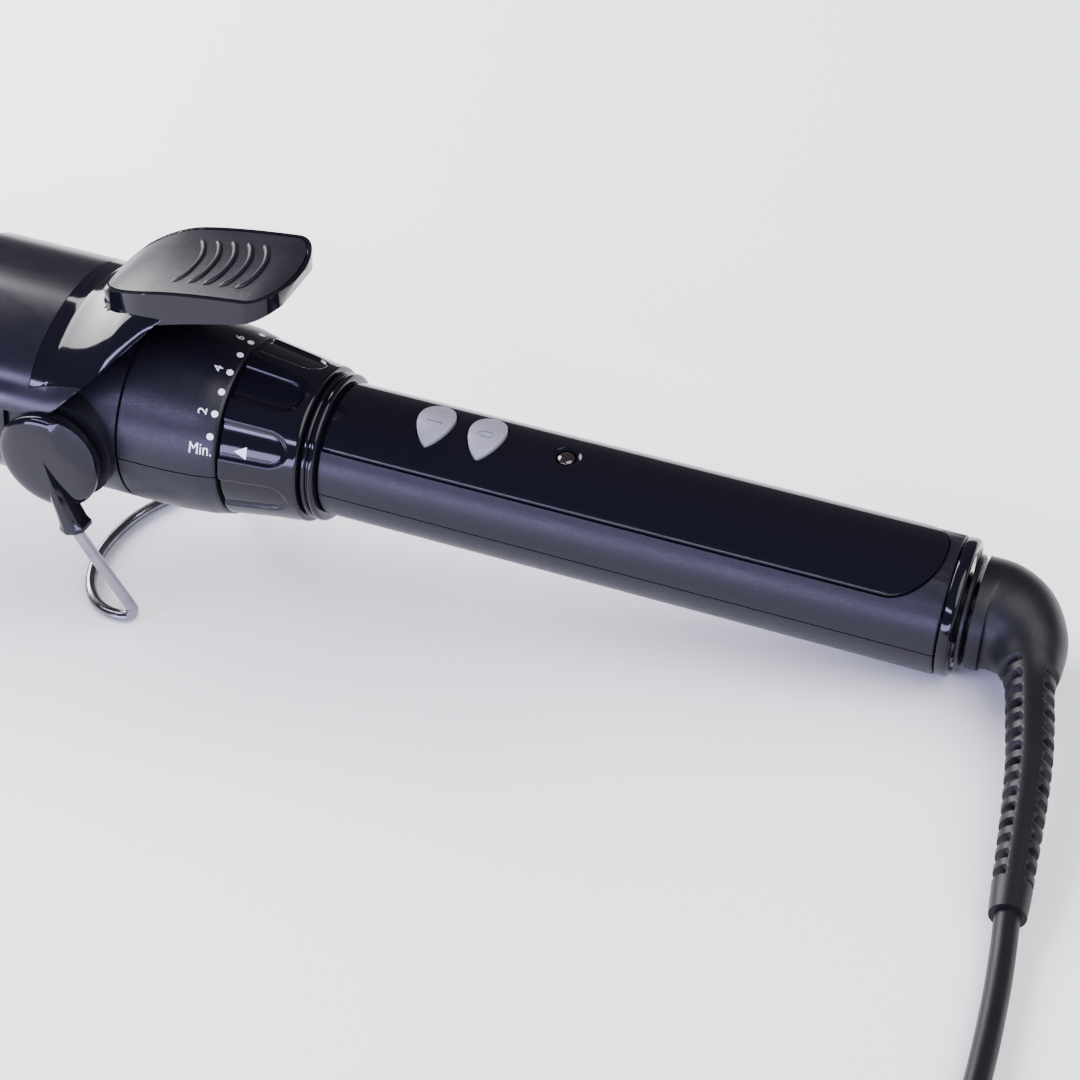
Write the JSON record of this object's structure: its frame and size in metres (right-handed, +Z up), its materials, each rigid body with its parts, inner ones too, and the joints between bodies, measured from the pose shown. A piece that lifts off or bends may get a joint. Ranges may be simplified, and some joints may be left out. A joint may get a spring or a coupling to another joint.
{
  "type": "curling iron",
  "caption": "Hand-held hair curling iron with a round heated barrel, spring clamp, folding wire stand, heat dial and swivel cord.",
  "frame": {"origin": "on the table, under the middle of the iron without its cord", "axes": "+X from the barrel's tip towards the cord end, level with the table; +Z up; +Y to the side away from the cord's exit. The iron rests on its stand and handle end, so its own axis slopes down towards +X."},
  "size_m": [0.3718, 0.2246, 0.0883],
  "materials": {
    "gloss_black": "high gloss injection moulded",
    "satin_black": "fine spark-eroded texture, satin",
    "soft_black": "matte flexible PVC",
    "spoon_black": "satin heat-proof coating",
    "ceramic_black": "ceramic coated aluminium, satin",
    "steel_wire": "bright plated wire",
    "spring_steel": "plain steel",
    "aluminium": "extruded",
    "brass": "bright",
    "button_silver": "satin silver lacquer",
    "heat_resin": "glass filled heat-proof resin",
    "heater_ceramic": "sintered ceramic",
    "circuit_green": "solder resist on glass laminate",
    "lamp_red": "red epoxy",
    "lamp_clear": "dark red clear acrylic",
    "lead_red": "silicone insulation",
    "lead_white": "silicone insulation"
  },
  "bodies": {
    "housing": {"barrel_tube": "ceramic_black", "tip_cap": "satin_black", "barrel_mount": "heat_resin", "heater_block_upper": "aluminium", "heater_block_lower": "aluminium", "heater_plate": "heater_ceramic", "thermal_fuse": "brass", "heater_lead_red": "lead_red", "heater_lead_white": "lead_white", "hinge_collar": "satin_black", "hinge_pin_near": "spring_steel", "hinge_pin_far": "spring_steel", "clamp_spring": "spring_steel", "control_housing_upper": "satin_black", "control_housing_lower": "satin_black", "handle_upper_shell": "satin_black", "handle_lower_shell": "satin_black", "gloss_panel": "gloss_black", "trim_ring": "gloss_black", "end_cap": "gloss_black", "circuit_board": "circuit_green", "switch_on": "soft_black", "switch_off": "soft_black", "indicator_lamp": "lamp_red", "indicator_lens": "lamp_clear", "contact_block": "heat_resin", "mains_lead_brown": "lead_red", "mains_lead_blue": "lead_white", "resistor_ring": "circuit_green", "shell_screw_front": "spring_steel", "shell_screw_rear": "spring_steel"},
    "clamp": {"spoon": "spoon_black", "lever": "gloss_black", "thumb_pad": "satin_black"},
    "stand": {"stand_hub_near": "gloss_black", "stand_hub_far": "gloss_black", "stand_wire": "steel_wire"},
    "dial": {"heat_dial": "gloss_black", "dial_wiper": "brass"},
    "on_button": {"button_on": "button_silver"},
    "off_button": {"button_off": "button_silver"},
    "swivel": {"swivel_neck": "satin_black", "slip_ring": "brass", "strain_relief": "soft_black", "cord_lead": "soft_black", "cord_coil": "soft_black", "cord_tail": "soft_black", "plug_body": "soft_black", "plug_pin_near": "brass", "plug_pin_far": "brass"}
  },
  "joints": [
    {"name": "clamp_hinge", "type": "hinge", "parent": "housing", "child": "clamp", "pos_m": [0.012, 0, 0.03885], "axis": [0, 1, 0], "range_deg": [0, 18], "stiffness_Nm_per_rad": 0.8, "springref_deg": -17.19},
    {"name": "stand_fold", "type": "hinge", "parent": "housing", "child": "stand", "pos_m": [0.012, 0, 0.03885], "axis": [0, -1, 0], "range_deg": [0, 45]},
    {"name": "dial_turn", "type": "hinge", "parent": "housing", "child": "dial", "pos_m": [0.04649, 0, 0.03295], "axis": [-0.9857, 0, 0.1685], "range_deg": [0, 120]},
    {"name": "on_press", "type": "slide", "parent": "housing", "child": "on_button", "axis": [-0.1672, 0.1219, -0.9784], "range_m": [0, 0.0007], "stiffness_N_per_m": 1500, "springref_m": -0.0003},
    {"name": "off_press", "type": "slide", "parent": "housing", "child": "off_button", "axis": [-0.1672, 0.1219, -0.9784], "range_m": [0, 0.0007], "stiffness_N_per_m": 1500, "springref_m": -0.0003},
    {"name": "cord_swivel", "type": "hinge", "parent": "housing", "child": "swivel", "pos_m": [0.17079, 0, 0.01171], "axis": [0.9857, 0, -0.1685], "continuous": true}
  ]
}
